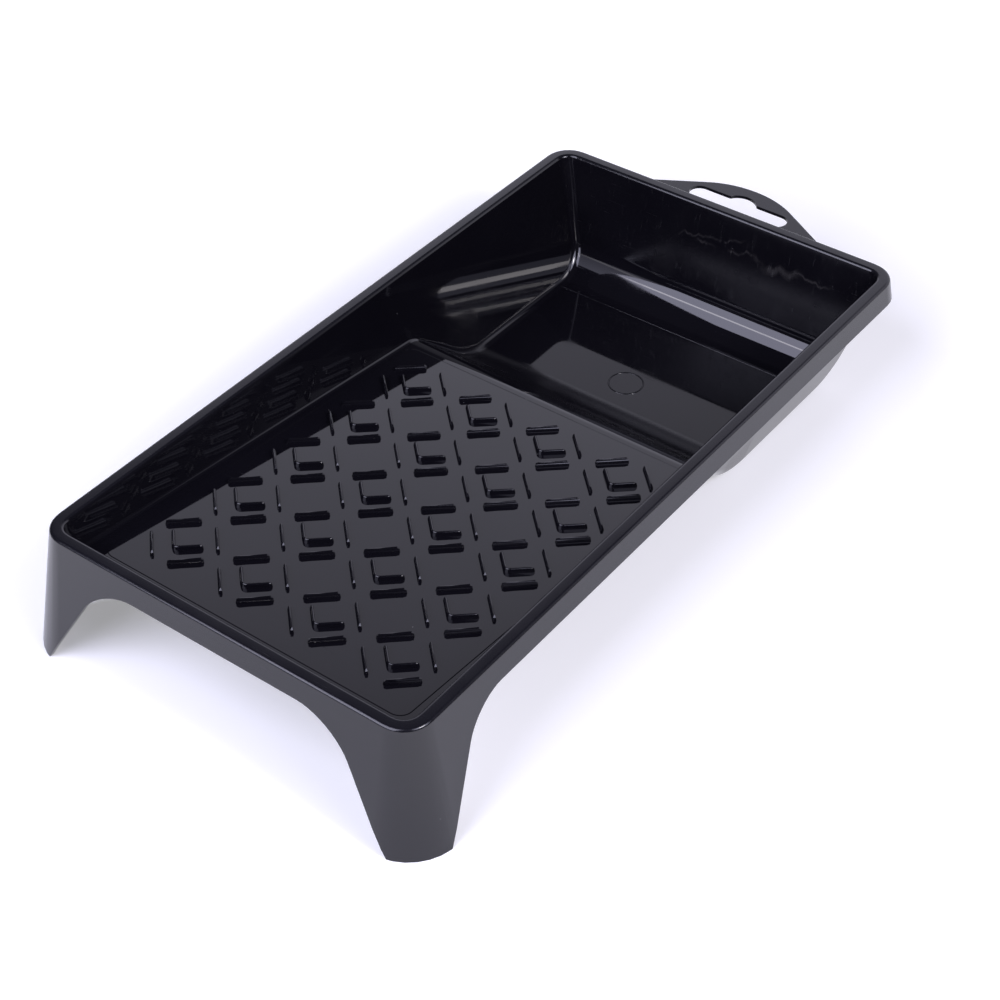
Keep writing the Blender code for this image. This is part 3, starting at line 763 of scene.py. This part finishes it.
# faint mould marks: a ring and a line on the well's floor, and the panel raised a hair on the ramp

marks = {
    "ringY": 0.0785,
    "ringRadius": 0.0065,
    "ringHalf": 0.0003,  # half width of its line
    "ringHeight": 0.00012,
    "ringSides": (72, 10),  # round the ring and round its line
    "panel": (0.0612, -0.1290, 0.0268),  # half width, front and rear, along the ramp
    "panelRound": 0.0045,
    "panelSteps": 8,
    "panelEdge": (0.00032, 0.00010),  # width and height of its sloping edge
    "panelSunk": 0.0004,
    "floorLine": (0.1154, 0.0565, 0.00016),  # its place along the tray, half length and radius
    "floorLineSides": 16,
}


def makeRing():
    around, across = marks["ringSides"]
    piece = startPiece(
        "well_ring", bpy.ops.mesh.primitive_torus_add,
        major_radius=marks["ringRadius"], minor_radius=marks["ringHalf"],
        major_segments=around, minor_segments=across, location=(0, along(marks["ringY"]), tray["wall"]),
    )
    piece.scale = (1, 1, marks["ringHeight"] / marks["ringHalf"])
    applyPlace()
    piece.data.materials.append(gloss)
    smooth(piece)
    return piece


def makePanel():
    half, front, rear = marks["panel"]
    piece = startPiece("ramp_raised_panel", bpy.ops.mesh.primitive_plane_add, size=1)
    piece.scale = (2 * half, (rear - front) / math.cos(tray["rampAngle"]), 1)
    applyPlace()
    editPiece(piece)
    pickAll("VERT")
    bpy.ops.mesh.bevel(offset=marks["panelRound"], segments=marks["panelSteps"], affect="VERTICES")
    thicken((0, 0, -marks["panelSunk"]))
    pick(piece, "FACE", lambda f: f.normal.z > 0.9)
    width, height = marks["panelEdge"]
    bpy.ops.mesh.inset(thickness=width, depth=height)
    leaveEdit()
    layOnRamp(piece, (front + rear) / 2)
    piece.data.materials.append(gloss)
    return piece


def makeFloorLine():
    y, half, radius = marks["floorLine"]
    piece = startPiece(
        "floor_line", bpy.ops.mesh.primitive_cylinder_add,
        vertices=marks["floorLineSides"], radius=radius, depth=2 * half,
        rotation=(0, math.pi / 2, 0), location=(0, along(y), tray["wall"]),
    )
    applyPlace()
    piece.data.materials.append(gloss)
    smooth(piece)
    return piece


def report(stage, piece):
    low = [round(1000 * min(v.co[i] for v in piece.data.vertices), 2) for i in range(3)]
    high = [round(1000 * max(v.co[i] for v in piece.data.vertices), 2) for i in range(3)]
    print(stage, len(piece.data.vertices), "points, from", low, "to", high)


body = makeTub()
report("tub", body)
rim = makeShell()
report("rim", rim)
joinBody(body, rim)
finishBody(body)
report("body", body)
rampRibs = makeRibs()
report("ribs", rampRibs)
hangTab = makeTab()
report("tab", hangTab)
ring = makeRing()
report("ring", ring)
rampPanel = makePanel()
report("panel", rampPanel)
floorLine = makeFloorLine()
report("floor line", floorLine)

# camera: the photo's view, from above the front right corner

cameraView = {
    "place": (0.33301, -0.44847, 0.47887),
    "turn": (49.0153, 0.3121, 36.7994),  # degrees
    "lens": 74.717,
    "sensor": 36,
    "farthest": 20,
}


def makeCamera():
    turn = [math.radians(angle) for angle in cameraView["turn"]]
    bpy.ops.object.camera_add(location=cameraView["place"], rotation=turn)
    camera = bpy.context.object
    camera.data.lens = cameraView["lens"]
    camera.data.sensor_width = cameraView["sensor"]
    camera.data.clip_end = cameraView["farthest"]
    scene.camera = camera


makeCamera()

for piece in (body, rampRibs, hangTab, ring, rampPanel, floorLine):
    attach(piece, "root")
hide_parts(*[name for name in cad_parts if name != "hang_tab"])
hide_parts("hang_tab")

# studio: a white floor whose glow is weaker near the tray, a painted shade round it, a bright surround up to a
# dark ceiling, and two softboxes with hot cores

studio = {
    "floorSize": 6,
    "floorColour": (0.8, 0.8, 0.8),
    "floorRough": 0.9,
    "floorShine": 0.1,
    "floorGlowWithPaintedShade": (0.27, 0.75),  # near and far, as seen and as mirrored; the weaker glow near the tray is painted shade round it
    "paintedShadeReach": (0.12, 0.20),  # half width and half length of the near part, the painted shade round the tray
    "sweep": ((1.08, 1.07, 1.27), (0.65, 0.64, 0.76)),  # the bright surround, low and high
    "sweepTowards": (-0.087, 0.996, 0),
    "sweepSide": (0.50, 0.60),  # how near to that direction it starts
    "sweepFrom": (0.05, 0.15),  # heights of a direction where it starts, grows dimmer and ends
    "sweepFades": (0.50, 0.64),
    "ceilingFrom": (0.645, 0.70),
    "surround": (0.04, 0.04, 0.05),
    "ceiling": (0.03, 0.03, 0.04),
    "softboxes": (  # direction from the tray, distance, width, height, power, colour
        ((-0.175, -0.743, 0.669), 1.0, 0.75, 0.88, 9.4, (0.94, 0.94, 1.22)),
        ((-0.175, -0.76, 0.65), 0.98, 0.73, 0.06, 0.8, (1, 0.97, 1)),
        ((0.732, -0.10, 0.656), 1.0, 0.62, 0.52, 4.5, (0.94, 0.94, 1.22)),
        ((0.722, -0.085, 0.656), 0.98, 0.18, 0.18, 3.4, (1, 0.95, 0.97)),
    ),
}


def makeFloor():
    floor = startPiece("studio_floor", bpy.ops.mesh.primitive_plane_add, size=studio["floorSize"])
    material = bpy.data.materials.new("white floor")
    material.use_nodes = True
    tree = material.node_tree
    shader = tree.nodes["Principled BSDF"]
    shader.inputs["Base Color"].default_value = (*studio["floorColour"], 1)
    shader.inputs["Roughness"].default_value = studio["floorRough"]
    shader.inputs["Specular IOR Level"].default_value = studio["floorShine"]
    shader.inputs["Emission Color"].default_value = (1, 1, 1, 1)
    path = addNode(tree, "LightPath")
    seen = math2(tree, "MAXIMUM", path.outputs["Is Camera Ray"], path.outputs["Is Transmission Ray"])
    seen = math2(tree, "MAXIMUM", seen, path.outputs["Is Glossy Ray"])
    wide, long = studio["paintedShadeReach"]
    mapping = addNode(tree, "Mapping", {"Scale": (1 / wide, 1 / long, 0)})
    tree.links.new(addNode(tree, "TexCoord").outputs["Object"], mapping.inputs["Vector"])
    away = tree.nodes.new("ShaderNodeVectorMath")
    away.operation = "LENGTH"
    tree.links.new(mapping.outputs["Vector"], away.inputs[0])
    near, far = studio["floorGlowWithPaintedShade"]
    # painted shade: the glow is weaker within the near part, so the floor round the tray is darker
    glowWithPaintedShade = math2(tree, "MULTIPLY", mask(tree, away.outputs["Value"], 1, 2), far - near)
    glowWithPaintedShade = math2(tree, "MULTIPLY", seen, math2(tree, "ADD", glowWithPaintedShade, near))
    tree.links.new(glowWithPaintedShade, shader.inputs["Emission Strength"])
    floor.data.materials.append(material)


def makeWorld():
    world = bpy.data.worlds.new("studio")
    scene.world = world
    world.use_nodes = True
    tree = world.node_tree
    direction = addNode(tree, "TexCoord").outputs["Generated"]
    height = addNode(tree, "SeparateXYZ")
    tree.links.new(direction, height.inputs["Vector"])
    side = tree.nodes.new("ShaderNodeVectorMath")
    side.operation = "DOT_PRODUCT"
    side.inputs[1].default_value = studio["sweepTowards"]
    tree.links.new(direction, side.inputs[0])
    lit = mask(tree, side.outputs["Value"], *studio["sweepSide"])
    lit = math2(tree, "MULTIPLY", lit, mask(tree, height.outputs["Z"], *studio["sweepFrom"]))
    sweep = blend(tree, mask(tree, height.outputs["Z"], *studio["sweepFades"]), *studio["sweep"])
    around = blend(tree, lit, studio["surround"], sweep)
    tone = blend(tree, mask(tree, height.outputs["Z"], *studio["ceilingFrom"]), around, studio["ceiling"])
    tree.links.new(tone, tree.nodes["Background"].inputs["Color"])
    tree.nodes["Background"].inputs["Strength"].default_value = 1


def makeSoftboxes():
    for direction, distance, width, height, power, colour in studio["softboxes"]:
        toLamp = Vector(direction).normalized()
        bpy.ops.object.light_add(type="AREA", location=toLamp * distance)
        lamp = bpy.context.object
        lamp.rotation_euler = toLamp.to_track_quat("Z", "Y").to_euler()
        lamp.data.shape = "RECTANGLE"
        lamp.data.size = width
        lamp.data.size_y = height
        lamp.data.energy = power
        lamp.data.color = colour


makeFloor()
makeWorld()
makeSoftboxes()
print("studio set up")
